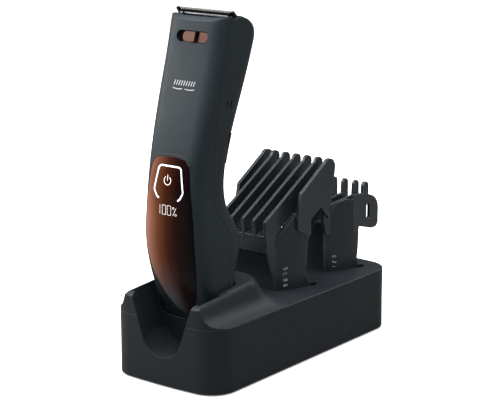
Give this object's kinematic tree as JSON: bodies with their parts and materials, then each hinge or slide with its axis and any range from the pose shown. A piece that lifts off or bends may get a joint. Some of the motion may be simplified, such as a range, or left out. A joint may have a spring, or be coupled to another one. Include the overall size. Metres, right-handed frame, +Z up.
{
  "type": "beard trimmer",
  "caption": "Cordless beard trimmer with a wide toothed blade head, gloss display panel and taper slider, standing in a charging stand that parks its guide combs.",
  "frame": {"origin": "on the surface the stand rests on, under the middle of the whole set's bounding box", "axes": "+Z up along the standing trimmer, -Y the way the trimmer's face looks, X across the width"},
  "size_m": [0.078, 0.1802, 0.2068],
  "materials": {
    "stand_plastic": "fine matt moulded",
    "base_plastic": "fine matt moulded",
    "rubber": "matt",
    "steel": "satin",
    "black_nylon": "moulded",
    "gold": "gold flashed",
    "board": "solder resist",
    "lead_sleeve": "soft vinyl",
    "housing": "soft-touch matt",
    "copper": "metallised satin",
    "gloss_panel": "high gloss, copper brown fading to black",
    "light": "translucent, lit",
    "display": "dark window",
    "blade_dark": "dark coated",
    "blade_steel": "ground",
    "motor_steel": "plated",
    "cell_wrap": "heat-shrink sleeve",
    "comb_plastic": "moulded, slight sheen"
  },
  "bodies": {
    "stand": {"stand_shell": "stand_plastic", "base_plate": "base_plastic", "rubber_feet": "rubber", "base_screws": "steel", "pin_block": "black_nylon", "pin_spring_left": "steel", "pin_spring_right": "steel", "stand_board": "board", "usb_inlet": "steel", "inlet_board": "board", "inlet_leads": "lead_sleeve"},
    "charge_pin_left": {"charge_pin_left": "gold"},
    "charge_pin_right": {"charge_pin_right": "gold"},
    "trimmer": {"front_shell": "housing", "rear_shell": "housing", "rear_inlay": "copper", "housing_screws": "steel", "front_panel": "gloss_panel", "light_guide": "light", "main_board": "board", "display_module": "display", "power_switch": "black_nylon", "motor_can": "motor_steel", "motor_cradle": "black_nylon", "battery_cell": "cell_wrap", "battery_cradle": "black_nylon", "charge_contacts": "gold"},
    "button": {"power_button": "gloss_panel"},
    "slider": {"taper_slider": "copper", "slider_carrier": "black_nylon"},
    "blade_head": {"blade_cap": "housing", "fixed_blade": "blade_dark", "blade_screws": "steel"},
    "carriage": {"blade_carriage": "black_nylon", "tension_spring": "steel"},
    "cutter": {"moving_blade": "blade_steel", "drive_yoke": "black_nylon"},
    "rotor": {"crank_shaft": "steel"},
    "comb_long": {"comb_long": "comb_plastic"},
    "comb_short": {"comb_short": "comb_plastic"}
  },
  "joints": [
    {"name": "charge_pin_left_press", "type": "slide", "parent": "stand", "child": "charge_pin_left", "axis": [0, 0, 1], "range_m": [-0.001, 0], "stiffness_N_per_m": 400, "springref_m": 0.0008, "deforming": ["pin_spring_left"]},
    {"name": "charge_pin_right_press", "type": "slide", "parent": "stand", "child": "charge_pin_right", "axis": [0, 0, 1], "range_m": [-0.001, 0], "stiffness_N_per_m": 400, "springref_m": 0.0008, "deforming": ["pin_spring_right"]},
    {"name": "trimmer_lift", "type": "slide", "parent": "stand", "child": "trimmer", "axis": [0, 0, 1], "range_m": [0, 0.06]},
    {"name": "button_press", "type": "slide", "parent": "trimmer", "child": "button", "axis": [0, 1, 0], "range_m": [0, 0.0005], "stiffness_N_per_m": 3000, "springref_m": -0.0004},
    {"name": "taper_slide", "type": "slide", "parent": "trimmer", "child": "slider", "axis": [1, 0, 0], "range_m": [-0.0042, 0]},
    {"name": "head_pull", "type": "slide", "parent": "trimmer", "child": "blade_head", "axis": [0, 0.3256, 0.9455], "range_m": [0, 0.012]},
    {"name": "gap_slide", "type": "slide", "parent": "blade_head", "child": "carriage", "axis": [0, 0.6198, -0.7848], "range_m": [0, 0.0012]},
    {"name": "blade_stroke", "type": "slide", "parent": "carriage", "child": "cutter", "axis": [1, 0, 0], "range_m": [-0.0012, 0.0012]},
    {"name": "motor_spin", "type": "hinge", "parent": "trimmer", "child": "rotor", "pos_m": [0, -0.05695, 0.148], "axis": [0, 0.3256, 0.9455], "continuous": true},
    {"name": "comb_long_lift", "type": "slide", "parent": "stand", "child": "comb_long", "axis": [0, 0, 1], "range_m": [0, 0.03]},
    {"name": "comb_short_lift", "type": "slide", "parent": "stand", "child": "comb_short", "axis": [0, 0, 1], "range_m": [0, 0.03]}
  ],
  "couplings": [
    {"joint": "gap_slide", "follows": "taper_slide", "ratio": -0.28571}
  ]
}
